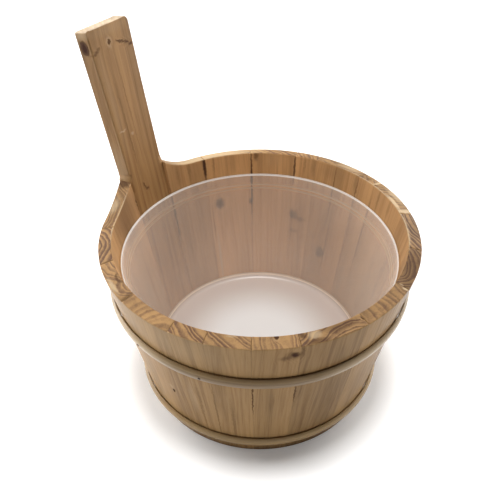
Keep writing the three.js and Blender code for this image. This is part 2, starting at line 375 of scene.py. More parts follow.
def patch_group():
    """Mark on the wood, added to the marks that come before it: knots, pitch stains and scuffs, and
    patches of painted shade, painted light and painted reflection.
    """
    inputs = {"Place": "Vector", "Centre": "Vector", "Size": "Vector"}
    inputs.update({"Depth": "Float", "Soft": "Float", "Dark": "Float", "Swell": "Float"})
    group, given, result = node_group("knot", inputs, ["Dark", "Swell"])
    offset = vector_maths(group, "SUBTRACT", given["Place"], given["Centre"])
    reach = vector_maths(group, "LENGTH", vector_maths(group, "DIVIDE", offset, given["Size"]))
    soft_outwards = 0.4
    soft_inwards = 0.8
    bulge_reach = 3.0
    bulge_size = 0.006
    outer = maths(group, "MULTIPLY_ADD", given["Soft"], soft_outwards, 1)
    inner = maths(group, "MULTIPLY_ADD", given["Soft"], -soft_inwards, 1)
    core = smooth_step(group, reach, outer, inner)
    group.links.new(maths(group, "MULTIPLY_ADD", core, given["Depth"], given["Dark"]), result["Dark"])
    knotty = maths(group, "MAXIMUM", given["Depth"], 0)
    near = smooth_step(group, reach, bulge_reach, 0)
    push = maths(group, "MULTIPLY", near, maths(group, "MULTIPLY", knotty, bulge_size))
    group.links.new(maths(group, "ADD", push, given["Swell"]), result["Swell"])
    return group


patch_mark = patch_group()

# Knots, pitch stains, scuffs and dark glue lines, and patches of painted shade, painted light and
# painted reflection where noted. Each has its angle about the tub, way out from the inner face and way
# up the slope, its half-sizes in those directions, its darkness, below 0 if pale, and how soft its edge
# is, from
# 0 to 1. Marks on the outside and inside leave the way out to the face.
rim_marks_and_painted_light = [
    # Dark patch where the left flank's sweep meets the handle: a stain, and painted shade in that
    # crease.
    (101.2, 0.0055, 0.1745, 0.0045, 0.0065, 0.0060, 0.70, 0.6),
    (110.5, 0.0075, 0.1640, 0.0100, 0.0040, 0.0080, -0.40, 1.0),
    (117.5, 0.0035, 0.1606, 0.0090, 0.0040, 0.0040, 0.30, 1.0),
    (154.0, 0.0010, 0.1606, 0.0072, 0.0032, 0.0040, 0.60, 0.3),
    (154.0, 0.0004, 0.1606, 0.0050, 0.0018, 0.0040, -0.40, 0.5),
    (156.0, 0.0088, 0.1606, 0.0110, 0.0020, 0.0040, -0.55, 0.9),
    (164.2, 0.0060, 0.1606, 0.0030, 0.0055, 0.0040, 0.50, 1.0),
    (205.0, 0.0012, 0.1606, 0.0050, 0.0014, 0.0040, -0.30, 1.0),
    (219.4, 0.0013, 0.1606, 0.0030, 0.0032, 0.0040, -0.20, 0.8),
    (219.4, 0.0013, 0.1606, 0.0019, 0.0021, 0.0040, 1.15, 0.4),
    (228.0, 0.0025, 0.1606, 0.0026, 0.0026, 0.0040, 0.60, 0.8),
    (231.6, 0.0035, 0.1606, 0.0060, 0.0042, 0.0040, -0.45, 0.9),
    (231.8, 0.0092, 0.1606, 0.0085, 0.0026, 0.0040, 0.60, 0.8),
    (241.5, 0.0030, 0.1606, 0.0150, 0.0040, 0.0040, 0.40, 0.8),
    (249.3, 0.0048, 0.1606, 0.0010, 0.0014, 0.0040, 0.70, 0.5),
    (270.4, 0.0088, 0.1606, 0.0010, 0.0030, 0.0040, -0.70, 0.6),
    (271.2, 0.0045, 0.1606, 0.0012, 0.0022, 0.0040, -0.50, 0.7),
    (281.5, 0.0060, 0.1606, 0.0250, 0.0090, 0.0040, 0.42, 0.8),
    (302.0, 0.0008, 0.1606, 0.0220, 0.0016, 0.0040, -0.20, 0.8),
    # The pale patches from here to 352 degrees are a painted reflection of bright light on the rim.
    (315.6, 0.0065, 0.1606, 0.0030, 0.0070, 0.0040, -0.70, 0.8),
    (322.0, 0.0022, 0.1606, 0.0150, 0.0016, 0.0040, -0.70, 0.8),
    (326.5, 0.0085, 0.1606, 0.0140, 0.0034, 0.0040, -0.45, 1.0),
    (336.6, 0.0065, 0.1606, 0.0018, 0.0055, 0.0040, -0.65, 0.8),
    (341.0, 0.0050, 0.1606, 0.0035, 0.0030, 0.0040, 0.40, 0.8),
    (352.0, 0.0070, 0.1606, 0.0140, 0.0060, 0.0040, -0.35, 1.0),
    # Thin pale lines along the rounded inner edge: wear, and a painted highlight.
    (322.0, 0.0004, 0.1606, 0.0850, 0.0008, 0.0040, -0.45, 0.6),
    (118.0, 0.0004, 0.1640, 0.0420, 0.0008, 0.0100, -0.50, 0.6),
    (55.0, 0.0055, 0.1650, 0.0500, 0.0120, 0.0160, -0.60, 0.8),
    (260.0, 0.0060, 0.1606, 0.0230, 0.0100, 0.0040, 0.10, 0.8),
]
outside_marks = [
    (225.0, 0.1515, 0.0034, 0.0038, 0.60, 0.8),
    (224.2, 0.1503, 0.0066, 0.0052, 0.45, 1.0),
    (221.4, 0.1478, 0.0042, 0.0030, 0.40, 1.0),
    (227.3, 0.1545, 0.0012, 0.0070, 0.40, 0.9),
    (186.0, 0.1500, 0.0560, 0.0240, -0.18, 1.0),
    (187.2, 0.0720, 0.0042, 0.0240, -0.16, 1.0),
    (243.0, 0.0600, 0.0140, 0.0500, 0.13, 1.0),
    (177.2, 0.0660, 0.0014, 0.0026, 0.95, 0.6),
    (176.4, 0.0720, 0.0030, 0.0030, -0.20, 1.0),
    (211.5, 0.0900, 0.0007, 0.0260, 0.75, 0.7),
    (226.6, 0.0960, 0.0008, 0.0160, 0.65, 0.7),
    (196.8, 0.0600, 0.0009, 0.0500, 0.35, 0.9),
    (190.3, 0.0600, 0.0015, 0.0450, 0.30, 1.0),
    (203.4, 0.0500, 0.0016, 0.0420, 0.30, 1.0),
    (231.8, 0.0600, 0.0030, 0.0450, 0.22, 1.0),
]
inside_marks_and_painted_light = [
    (54.6, 0.1112, 0.0066, 0.0068, 0.60, 0.6),
    (54.6, 0.1112, 0.0040, 0.0042, 0.25, 0.8),
    (15.8, 0.0985, 0.0060, 0.0054, 0.60, 0.8),
    (12.0, 0.0945, 0.0080, 0.0028, 0.40, 0.9),
    (15.0, 0.0800, 0.0060, 0.0024, 0.30, 0.9),
    (16.6, 0.0860, 0.0022, 0.0200, 0.30, 1.0),
    (357.8, 0.0650, 0.0060, 0.0066, 0.75, 0.7),
    (355.4, 0.0780, 0.0016, 0.0350, 0.35, 0.9),
    (37.8, 0.1300, 0.0013, 0.0380, 0.90, 0.8),
    (38.6, 0.1100, 0.0022, 0.0040, 0.60, 0.9),
    (35.6, 0.1580, 0.0030, 0.0060, 0.60, 1.0),
    (60.2, 0.1530, 0.0020, 0.0160, 0.95, 0.8),
    (57.3, 0.0500, 0.0018, 0.0340, -0.80, 0.9),
    (58.8, 0.0900, 0.0012, 0.0250, 0.35, 0.9),
    (17.3, 0.1480, 0.0012, 0.0180, 0.80, 0.8),
    (7.0, 0.1250, 0.0012, 0.0380, 0.60, 0.9),
    (357.0, 0.1300, 0.0008, 0.0300, 0.50, 0.9),
    (344.7, 0.1350, 0.0010, 0.0300, 0.45, 0.9),
    (335.2, 0.1050, 0.0014, 0.0500, 0.40, 1.0),
    (79.6, 0.1120, 0.0010, 0.0330, 0.70, 0.8),
    (108.5, 0.0680, 0.0030, 0.0300, 0.40, 1.0),
    # Broad dark patch on the inner wall at the left, near the rim: painted shade.
    (112.0, 0.1540, 0.0330, 0.0300, 0.50, 0.9),
    (100.5, 0.1500, 0.0012, 0.0120, 0.60, 0.8),
    (37.9, 0.0600, 0.0008, 0.0500, 0.35, 0.9),
    # Two broad pale patches low on the inner wall behind the liner: painted light.
    (318.0, 0.0400, 0.0650, 0.0600, -0.40, 1.0),
    (112.0, 0.0400, 0.0450, 0.0550, -0.35, 1.0),
    (346.0, 0.1530, 0.0022, 0.0120, 0.28, 1.0),
    (358.5, 0.1540, 0.0140, 0.0090, 0.16, 1.0),
    (8.0, 0.1530, 0.0030, 0.0120, 0.30, 1.0),
    (12.5, 0.1530, 0.0012, 0.0120, 0.25, 0.9),
    (27.0, 0.1540, 0.0110, 0.0100, -0.10, 1.0),
    (55.8, 0.1530, 0.0014, 0.0120, 0.30, 0.9),
    (46.5, 0.1530, 0.0040, 0.0120, 0.16, 1.0),
    (331.0, 0.1530, 0.0018, 0.0120, 0.30, 1.0),
    (323.0, 0.1530, 0.0024, 0.0120, 0.25, 1.0),
    (68.0, 0.1530, 0.0016, 0.0120, 0.28, 1.0),
    (74.0, 0.1530, 0.0032, 0.0120, 0.20, 1.0),
]
face_reach = 0.004


def wall_marks(marks):
    """Marks by their place in the wall."""
    placed = []
    for degrees, out, along, across_size, out_size, along_size, darkness, softness in marks:
        centre = (rim_radius * math.radians(degrees), out, along)
        placed.append((centre, (across_size, out_size, along_size), darkness, softness))
    return placed


def face_marks(marks, out):
    """Marks on a face of the wall, which lies a way out from the inner face."""
    placed = []
    for degrees, along, across_size, along_size, darkness, softness in marks:
        placed.append((degrees, out, along, across_size, face_reach, along_size, darkness, softness))
    return wall_marks(placed)


# Colours that pale and dark marks blend to; besides scuffs and pitch stains, some marks are patches of
# painted light, painted reflection and painted shade.
pale_wood_and_painted_light = (0.62, 0.47, 0.29, 1)
pitch_stain_and_painted_shade = (0.050, 0.021, 0.012, 1)


def new_material(name):
    """Material with its node tree and main shader."""
    material = bpy.data.materials.new(name)
    material.use_nodes = True
    return material, material.node_tree, material.node_tree.nodes["Principled BSDF"]


def wood_material(name, pale, dark, ring_depth, streak_depth, lacquer, gloss, marks, glare=0):
    """Lacquered softwood between a pale early-wood colour and a dark late-wood one."""
    fibre_depth = 0.8
    figure_depth = 0.8
    tone_depth = 0.3
    fibre_roughness = 0.2
    mark_roughness = 0.4
    glare_falloff = 4
    material, tree, shader = new_material(name)
    shader.inputs["Specular IOR Level"].default_value = lacquer
    if glare:
        facing = shader_node(tree, "LayerWeight", {"Blend": 0.5}).outputs["Facing"]
        grazing = maths(tree, "MULTIPLY", maths(tree, "POWER", facing, glare_falloff), glare)
        tree.links.new(grazing, shader.inputs["Coat Weight"])
        shader.inputs["Coat Roughness"].default_value = 0.15
    grain = shader_node(tree, "Attribute", {}, attribute_name="grain").outputs["Vector"]
    board = shader_node(tree, "Attribute", {}, attribute_name="rings").outputs["Vector"]
    spacing, depth, tone = shader_node(tree, "SeparateXYZ", {0: board}).outputs
    figure = place_group(tree, growth_rings, {"Grain": grain, "Spacing": spacing})
    dark_mark = None
    if marks:
        place = shader_node(tree, "Attribute", {}, attribute_name="wall").outputs["Vector"]
        torn = noise(tree, place, 300, 3).outputs["Color"]
        ragged = vector_maths(tree, "SUBTRACT", torn, (0.5, 0.5, 0.5))
        ragged = vector_maths(tree, "MULTIPLY", ragged, (0.003, 0.002, 0.004))
        place = vector_maths(tree, "ADD", place, ragged)
        swell = None
        for centre, size, darkness, softness in marks:
            inputs = {"Place": place, "Centre": centre, "Size": size}
            inputs.update({"Depth": darkness, "Soft": softness})
            if dark_mark:
                inputs.update({"Dark": dark_mark, "Swell": swell})
            dark_mark, swell = place_group(tree, patch_mark, inputs).outputs
        tree.links.new(swell, figure.inputs["Swell"])
    ring = maths(tree, "MULTIPLY", figure.outputs["Rings"], depth)
    late_wood = maths(tree, "MULTIPLY", ring, ring_depth)
    streaky = smooth_step(tree, figure.outputs["Streaks"], 0.45, 0.72)
    streak = maths(tree, "MULTIPLY", streaky, streak_depth)
    fibre = maths(tree, "MULTIPLY_ADD", figure.outputs["Fibre"], fibre_depth, -fibre_depth / 2)
    shade = maths(tree, "ADD", maths(tree, "ADD", late_wood, streak), fibre)
    colour = mix(tree, shade, (*pale, 1), (*dark, 1))
    broad = maths(tree, "MULTIPLY_ADD", figure.outputs["Figure"], figure_depth, 1 - figure_depth / 2)
    level = maths(tree, "MULTIPLY_ADD", tone, tone_depth, broad)
    toned = shader_node(tree, "HueSaturation", {"Value": level, "Color": colour}).outputs["Color"]
    # Blends the pale and dark marks in, some of which are painted light and painted shade.
    if marks:
        pale_mark = maths(tree, "MULTIPLY", dark_mark, -1)
        toned = mix(tree, pale_mark, toned, pale_wood_and_painted_light)
        toned = mix(tree, dark_mark, toned, pitch_stain_and_painted_shade)
    tree.links.new(toned, shader.inputs["Base Color"])
    rough = maths(tree, "MULTIPLY_ADD", figure.outputs["Fibre"], fibre_roughness, gloss)
    if marks:
        darkened = maths(tree, "MAXIMUM", dark_mark, 0)
        rough = maths(tree, "MULTIPLY_ADD", darkened, mark_roughness, rough)
    tree.links.new(rough, shader.inputs["Roughness"])
    height = maths(tree, "MULTIPLY_ADD", figure.outputs["Rings"], -0.3, figure.outputs["Fibre"])
    bump = shader_node(tree, "Bump", {"Height": height, "Strength": 0.35, "Distance": 0.0003})
    tree.links.new(bump.outputs["Normal"], shader.inputs["Normal"])
    return material


# The outside and inside of the staves are copies of one wood: the outside darker and greyer, painted
# shade, and the inside paler, painted light.
shaded_outside_wood = wood_material(
    "stave outside with painted shade",
    pale=(0.340, 0.206, 0.090),
    dark=(0.13, 0.064, 0.023),
    ring_depth=0.32,
    streak_depth=0.32,
    lacquer=0.06,
    gloss=0.34,
    marks=face_marks(outside_marks, stave_thickness),
    glare=0.26,
)
lit_inside_wood = wood_material(
    "stave inside with painted light",
    pale=(0.585, 0.335, 0.146),
    dark=(0.25, 0.112, 0.043),
    ring_depth=0.22,
    streak_depth=0.20,
    lacquer=0.18,
    gloss=0.36,
    marks=face_marks(inside_marks_and_painted_light, 0),
)
end_grain = wood_material(
    "stave end grain",
    pale=(0.338, 0.195, 0.080),
    dark=(0.122, 0.062, 0.034),
    ring_depth=1.3,
    streak_depth=0.30,
    lacquer=0.15,
    gloss=0.48,
    marks=wall_marks(rim_marks_and_painted_light),
)


for node_name in sorted(stave_logs):
    if "flank" in node_name:
        continue
    start, sweep = span(node_name)
    bm = wall_slice(start, sweep, stave_step)
    sort_faces(bm.faces)
    ease_board(bm)
    mark_grain(bm, start + sweep / 2, stave_logs[node_name])
    rings = bm.verts.layers.float_vector["rings"]
    wall = bm.verts.layers.float_vector["wall"]
    top_tone, foot_tone = outside_tones.get(node_name, (0, 0))
    for vertex in bm.verts:
        if vertex[wall].y > stave_thickness - rim_ease / 4:
            vertex[rings].z += foot_tone + (top_tone - foot_tone) * vertex[wall].z / wall_length
    make_piece(bm, node_name, "bucket", "stave_wood", shaded_outside_wood, lit_inside_wood, end_grain)

# Flank staves
# The two staves beside the handle, of the same softwood. Their tops are sawn in a hollow sweep that
# rises from the level rim to the handle, so the end grain shows there at a slant.
handle_start, handle_sweep = span("handle_stave")
handle_angle = math.pi / 2
scraped_edge = 0.0010
flank_step = math.radians(0.8)

# Side of the handle that each is on, how far its sweep runs, and how high it rises.
sweeps = {
    "left_flank_stave": (1, 0.040, 0.0145),
    "right_flank_stave": (-1, 0.034, 0.0145),
}

for node_name, (side, run, rise) in sweeps.items():
    start, sweep = span(node_name)
    bm = wall_slice(start, sweep, flank_step)
    sweep_radius = (run * run + rise * rise) / (2 * rise)
    sweep_start = handle_angle + side * (handle_sweep / 2 + run / rim_radius)
    for vertex in bm.verts:
        if vertex.co.z < near_rim:
            continue
        flat = vertex.co - tub_axis
        radius = math.hypot(flat.x, flat.y)
        turned = side * (sweep_start - math.atan2(flat.y, flat.x))
        across = radius * math.sin(turned)
        if across > 0:
            lift = sweep_radius - math.sqrt(sweep_radius ** 2 - across ** 2)
            lift += radius * (1 - math.cos(turned)) * math.sin(lean)
            vertex.co += lift * math.sin(lean) * Vector((flat.x, flat.y, 0)) / radius
            vertex.co.z += lift * math.cos(lean)
    sort_faces(bm.faces)
    # The long inner edge beside the handle is scraped back, so the handle stands proud of it.
    beside = handle_angle + side * handle_sweep / 2
    scraped = []
    for edge in sharp_edges(bm):
        ends = [vertex.co - tub_axis for vertex in edge.verts]
        at_joint = all(abs(math.atan2(end.y, end.x) - beside) < 0.01 for end in ends)
        at_inside = all(math.hypot(end.x, end.y) < inner_radius(end.z) + 0.001 for end in ends)
        if at_joint and at_inside and edge.calc_length() > 0.05:
            scraped.append(edge)
    for vertex in {vertex for edge in scraped for vertex in edge.verts}:
        flat = vertex.co - tub_axis
        vertex.co += scraped_edge * Vector((flat.x, flat.y, 0)).normalized()
    ease_board(bm)
    mark_grain(bm, start + sweep / 2, stave_logs[node_name])
    make_piece(bm, node_name, "bucket", "stave_wood", shaded_outside_wood, lit_inside_wood, end_grain)

# Handle stave
# One stave left long: planed flat inside, rounded with the tub outside up to its flanks, then sawn
# to a flat board that widens a little to its top, with rounded corners and sanded edges.
grip_thickness = 0.012
grip_rim_width = 0.0415
grip_top_width = 0.0465
grip_length = 0.143
grip_corners = {1: 0.0022, -1: 0.0045}
grip_ease = 0.0010
flat_proud = 0.0008
left_side_slant = 0.0010
right_top_flare = 0.0008
planing_spare = 0.0003
handle_step = math.radians(1.7)
handle_log = (-0.040, -0.030, 0.0060, 0.7, 0.2)

# Ways up from the rim where the shoulder starts and ends, the grip is square and flat from, and its
# top right corner starts to flare; then the painted shade that darkens the grip towards its top,
# and the painted light that makes the stave paler below the rim.
shoulder_start = 0.010
shoulder_end = 0.0135
square_from = 0.0165
flat_from = 0.0185
flare_start = 0.090
grip_top_painted_shade = -1.0
grip_foot_painted_light = 2.2


def grip_half_width(along):
    return (grip_rim_width + (grip_top_width - grip_rim_width) * along / grip_length) / 2


def saw_off(bm, place, facing, **cleared):
    """Saws off what lies on the cleared side of a plane, and closes the cut."""
    everything = bm.verts[:] + bm.edges[:] + bm.faces[:]
    bmesh.ops.bisect_plane(bm, geom=everything, dist=1e-6, plane_co=place, plane_no=facing, **cleared)
    bmesh.ops.holes_fill(bm, edges=[edge for edge in bm.edges if edge.is_boundary])


handle_frame = board_frame(handle_angle)
bm = wall_slice(handle_start, handle_sweep, handle_step, flat_proud + planing_spare)
flat_inside = handle_frame @ Vector((0, -flat_proud, 0))
saw_off(bm, flat_inside, handle_frame.col[1].to_3d(), clear_inner=True)
bmesh.ops.recalc_face_normals(bm, faces=bm.faces)
up_slope = handle_frame.col[2].to_3d()
tops = [face for face in bm.faces if above(near_rim)(face) and face.normal.dot(up_slope) > 0.97]
top = bmesh.ops.dissolve_faces(bm, faces=tops)["region"][0]
into_handle = handle_frame.inverted()
corners = [into_handle @ loop.vert.co for loop in top.loops]
inside = min(corner.y for corner in corners)
front_row = inside + 0.003
back_half = max(corner.x for corner in corners)
front_half = max(corner.x for corner in corners if corner.y < front_row)
section = []
for corner in corners:
    back = corner.y > front_row
    row_half = back_half if back else front_half
    section.append((corner.x / row_half, row_half, corner.y, back))
shoulder = [0.005, shoulder_start, shoulder_end, square_from, flat_from]
grip = [0.030, 0.060, flare_start, 0.120, grip_length]
for along in shoulder + grip:
    top = bmesh.ops.extrude_discrete_faces(bm, faces=[top])["faces"][0]
    flatness = min(1, max(0, (along - shoulder_start) / (flat_from - shoulder_start)))
    squareness = min(1, max(0, (along - shoulder_end) / (square_from - shoulder_end)))
    widening = 1 + along * math.sin(lean) / (rim_radius - stave_thickness)
    for loop, (across, row_half, out, back) in zip(top.loops, section):
        coopered = row_half * widening
        half = grip_half_width(along)
        if across > 0 and not back:
            half -= left_side_slant
        if across < 0:
            half += right_top_flare * max(0, along - flare_start) / (grip_length - flare_start)
        half = coopered + (half - coopered) * squareness
        depth = out + (grip_thickness - out) * flatness if back else inside
        loop.vert.co = handle_frame @ Vector((across * half, depth, along))
bmesh.ops.recalc_face_normals(bm, faces=bm.faces)
for face in bm.faces:
    if face.normal.dot(up_slope) > 0.9 or face.normal.z < -0.9:
        face.material_index = 1
side_face = grip_half_width(grip_length) - left_side_slant - 1e-4
for side, corner in grip_corners.items():
    corner_edges = []
    for edge in bm.edges:
        ends = [into_handle @ vertex.co for vertex in edge.verts]
        at_top = all(end.z > grip_length - 1e-4 for end in ends)
        at_side = all(side * end.x > side_face for end in ends)
        if at_top and at_side:
            corner_edges.append(edge)
    ease(bm, corner_edges, corner, 5)
bm.normal_update()
on_grip = {vertex for vertex in bm.verts if (into_handle @ vertex.co).z > flat_from - 1e-4}
arrises = [edge for edge in sharp_edges(bm) if on_grip.issuperset(edge.verts)]
ease(bm, arrises, grip_ease, 3)
mark_grain(bm, handle_angle, handle_log)
rings = bm.verts.layers.float_vector["rings"]
# Painted shade darkens the grip towards its top, and painted light makes the stave paler below the rim.
for vertex in bm.verts:
    up = (into_handle @ vertex.co).z
    vertex[rings].z += grip_top_painted_shade * max(0, up) / grip_length
    vertex[rings].z += grip_foot_painted_light * max(0, -up) / wall_length

# Knots, cracks and scuffs of the handle, and pale patches of painted light on its left side: way across
# from its middle, back from its front and up from the rim, half-sizes in those directions, darkness,
# below 0 if pale, and softness.
grip_marks_and_painted_light = [
    (0.0232, 0.0055, 0.1300, 0.0050, 0.0046, 0.0066, 0.80, 0.25),
    (0.0232, 0.0055, 0.1300, 0.0030, 0.0026, 0.0040, 0.25, 0.6),
    (0.0197, 0, 0.1240, 0.0026, 0.004, 0.0012, 0.55, 0.8),
    (0.0172, 0, 0.1256, 0.0026, 0.004, 0.0012, 0.50, 0.8),
    (0.0148, 0, 0.1272, 0.0024, 0.004, 0.0011, 0.45, 0.8),
    (0.0022, 0, 0.1290, 0.0036, 0.004, 0.0046, -0.30, 0.8),
    (0.0022, 0, 0.1290, 0.0021, 0.004, 0.0026, 1.10, 0.4),
    (-0.0073, 0, 0.1275, 0.0030, 0.004, 0.0010, 0.75, 0.8),
    (-0.0103, 0, 0.1262, 0.0030, 0.004, 0.0010, 0.75, 0.8),
    (-0.0133, 0, 0.1248, 0.0030, 0.004, 0.0010, 0.75, 0.8),
    (-0.0163, 0, 0.1232, 0.0030, 0.004, 0.0011, 0.75, 0.8),
    (-0.0198, 0, 0.1212, 0.0030, 0.004, 0.0011, 0.75, 0.8),
    (0.0066, 0, 0.0022, 0.0010, 0.004, 0.0022, 0.60, 0.8),
    (0.0054, 0, -0.0006, 0.0012, 0.004, 0.0018, 0.70, 0.8),
    (0.0037, 0, -0.0028, 0.0018, 0.004, 0.0012, 0.70, 0.8),
    (0.0077, 0, 0.0600, 0.0009, 0.004, 0.0650, 0.25, 1.0),
    (-0.0003, 0, 0.0700, 0.0008, 0.004, 0.0600, 0.22, 1.0),
    # Pale patch low on the left side: painted light.
    (0.0220, 0.0060, 0.0240, 0.0050, 0.0080, 0.0260, -0.20, 1.0),
    # Pale line along the left front arris: wear, and painted light over the shade there.
    (0.0208, 0.0003, 0.0750, 0.0018, 0.0014, 0.0750, -0.12, 0.8),
    (0.0150, 0, 0.0780, 0.0046, 0.004, 0.0500, -0.10, 1.0),
    (0.0132, 0, 0.0570, 0.0042, 0.004, 0.0010, -0.35, 0.9),
    (0.0037, 0, 0.0510, 0.0020, 0.004, 0.0018, -0.30, 0.9),
    (0.0236, 0.0055, 0.1420, 0.0040, 0.0080, 0.0065, -0.40, 1.0),
    (0.0222, 0.0060, 0.0800, 0.0040, 0.0080, 0.0300, 0.10, 1.0),
    (-0.0020, 0, 0.1400, 0.0220, 0.004, 0.0070, -0.10, 1.0),
]


def handle_marks(marks):
    """Marks of the handle by their place in the wall."""
    placed = []
    for across, out, up, across_size, out_size, up_size, darkness, softness in marks:
        spot = handle_frame @ Vector((across, out, up)) - tub_axis
        radius = math.hypot(spot.x, spot.y)
        along = (radius - foot_radius) * math.sin(lean) + spot.z * math.cos(lean)
        out = (radius - inner_radius(spot.z)) * math.cos(lean)
        centre = (rim_radius * math.atan2(spot.y, spot.x), out, along)
        size = (across_size * rim_radius / radius, out_size, up_size)
        placed.append((centre, size, darkness, softness))
    return placed


handle_wood = wood_material(
    "handle",
    pale=(0.335, 0.185, 0.072),
    dark=(0.13, 0.056, 0.021),
    ring_depth=0.35,
    streak_depth=0.26,
    lacquer=0.14,
    gloss=0.36,
    marks=handle_marks(grip_marks_and_painted_light),
)
# The handle's end grain is far paler than the rim's: painted light on the grip's top.
lit_handle_end = wood_material(
    "handle end grain with painted light",
    pale=(0.78, 0.61, 0.42),
    dark=(0.46, 0.30, 0.18),
    ring_depth=0.5,
    streak_depth=0.3,
    lacquer=0.15,
    gloss=0.45,
    marks=[],
)
make_piece(bm, "handle_stave", "bucket", "handle_wood", handle_wood, lit_handle_end)

# Bottom boards
# Four softwood boards, planed and jointed edge to edge, cut to a disc and let into the groove
# around the staves. They show from underneath, and above only round the liner.
board_ease = 0.0005
disc_radius = (bottom_high.x - bottom_low.x) / 2
disc_sides = 120

# Log of each board, as the staves have.
bottom_logs = [
    (0.020, 0.060, 0.0050, 0.7, 0.1),
    (-0.030, -0.050, 0.0046, 0.6, -0.2),
    (0.010, 0.045, 0.0042, 0.8, 0.2),
    (-0.060, 0.030, 0.0050, 0.6, 0.0),
]
bottom_wood = wood_material(
    "bottom board",
    pale=(0.32, 0.20, 0.095),
    dark=(0.15, 0.08, 0.036),
    ring_depth=0.5,
    streak_depth=0.35,
    lacquer=0.18,
    gloss=0.45,
    marks=[],
)
bottom_end = wood_material(
    "bottom board ends",
    pale=(0.42, 0.25, 0.11),
    dark=(0.16, 0.08, 0.04),
    ring_depth=0.9,
    streak_depth=0.35,
    lacquer=0.15,
    gloss=0.5,
    marks=[],
)


def lay_grain(bm, board, log):
    """Writes each place's way from the pith, and the rings' spacing, depth and tone."""
    pith_across, pith_out, spacing, depth, tone = log
    grain, rings = new_layers(bm, "grain", "rings")
    into_board = board.inverted()
    for vertex in bm.verts:
        vertex[grain] = into_board @ vertex.co - Vector((pith_across, pith_out, 0.1))
        vertex[rings] = (spacing, depth, tone)


for number, log in enumerate(bottom_logs, 1):
    node_name = "bottom_board_%d" % number
    low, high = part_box(node_name)
    bm = bmesh.new()
    under = Matrix.Translation(tub_axis + Vector((0, 0, low.z)))
    bmesh.ops.create_circle(bm, cap_ends=True, radius=disc_radius, segments=disc_sides, matrix=under)
    raised = bmesh.ops.extrude_face_region(bm, geom=bm.faces[:])["geom"]
    raised = [element for element in raised if isinstance(element, bmesh.types.BMVert)]
    bmesh.ops.translate(bm, verts=raised, vec=(0, 0, high.z - low.z))
    saw_off(bm, low, (0, -1, 0), clear_outer=True)
    saw_off(bm, high, (0, 1, 0), clear_outer=True)
    bmesh.ops.recalc_face_normals(bm, faces=bm.faces)
    for face in bm.faces:
        if abs(face.normal.x) > 0.5:
            face.material_index = 1
    ease(bm, sharp_edges(bm), board_ease, 2)
    middle = (low + high) / 2
    axes = Matrix(((0, 0, 1), (1, 0, 0), (0, 1, 0))).to_4x4()
    lay_grain(bm, Matrix.Translation(Vector((0, middle.y, high.z))) @ axes, log)
    make_piece(bm, node_name, "bucket", "bottom_wood", bottom_wood, bottom_end)

# Hoops
# Two half-round strips of bent wood drive up the tapering tub and hold the staves together. The
# ends of each meet in a slanted scarf at the back, nailed through.
hoop_proud = 0.0037
hoop_seat = 0.0003
hoop_fullness = 0.8
section_sides = 14
hoop_sides = 180
scarf_length = 0.020
scarf_gap = 0.0003
scarf_easing = math.radians(60)

# Height and width of each hoop, the angle of its scarf, and its log, as the staves have.
hoops = {
    "upper_hoop": (0.1148, 0.0114, 20, (0.021, 0.004, 0.0026, 0.5, -0.5)),
    "lower_hoop": (0.0182, 0.0098, 45, (-0.024, 0.006, 0.0024, 0.5, 0.5)),
}

# Painted light and shade on the hoops: pale patches on their sides and a darker one at their front,
# laid out as the rim's marks are.
hoop_painted_light = [
    (216.0, 0.0150, 0.1170, 0.0420, 0.0100, 0.0120, 0.14, 1.0),
    (264.0, 0.0150, 0.1170, 0.0640, 0.0100, 0.0120, -0.55, 1.0),
    (162.0, 0.0150, 0.1170, 0.0480, 0.0100, 0.0120, -0.60, 1.0),
    (262.0, 0.0150, 0.0185, 0.0340, 0.0100, 0.0120, -0.32, 1.0),
]
hoop_wood = wood_material(
    "hoop",
    pale=(0.34, 0.224, 0.102),
    dark=(0.145, 0.081, 0.034),
    ring_depth=0.5,
    streak_depth=0.35,
    lacquer=0.24,
    gloss=0.20,
    marks=wall_marks(hoop_painted_light),
    glare=0.8,
)

for node_name, (height, width, scarf_degrees, log) in hoops.items():
    middle = height / math.cos(lean)
    outline = []
    for step in range(section_sides + 1):
        turned = math.pi * (step / section_sides - 0.5)
        out = hoop_seat + hoop_proud * math.cos(turned) ** hoop_fullness
        outline.append(wall_point(-out, middle + width / 2 * math.sin(turned)))
    hoop_radius = wall_point(-hoop_seat, middle)[0]
    scarf = math.radians(scarf_degrees)
    gap = scarf_gap / hoop_radius * scarf_length / hoop_proud
    bm = turn(outline, scarf, math.tau - gap, hoop_sides)
    grain, rings, wall = new_layers(bm, "grain", "rings", "wall")
    across, out_from, spacing, depth, tone = log
    for vertex in bm.verts:
        flat = vertex.co - tub_axis
        radius = math.hypot(flat.x, flat.y)
        turned = (math.atan2(flat.y, flat.x) - scarf + 1e-4) % math.tau
        from_pith = (flat.z - height - across, radius - hoop_radius - out_from)
        vertex[grain] = (*from_pith, turned * hoop_radius)
        vertex[rings] = (spacing, depth, tone)
        out = (radius - foot_radius - flat.z * math.tan(lean)) * math.cos(lean)
        vertex[wall] = (rim_radius * (scarf + turned), stave_thickness + out, flat.z / math.cos(lean))
        slant = (0.5 - out / hoop_proud) * scarf_length / hoop_radius
        near = max(0, 1 - turned / scarf_easing, 1 - (math.tau - turned) / scarf_easing)
        vertex.co = tub_axis + Matrix.Rotation(slant * near, 3, "Z") @ flat
    bmesh.ops.recalc_face_normals(bm, faces=bm.faces)
    make_piece(bm, node_name, "bucket", "hoop_wood", hoop_wood)

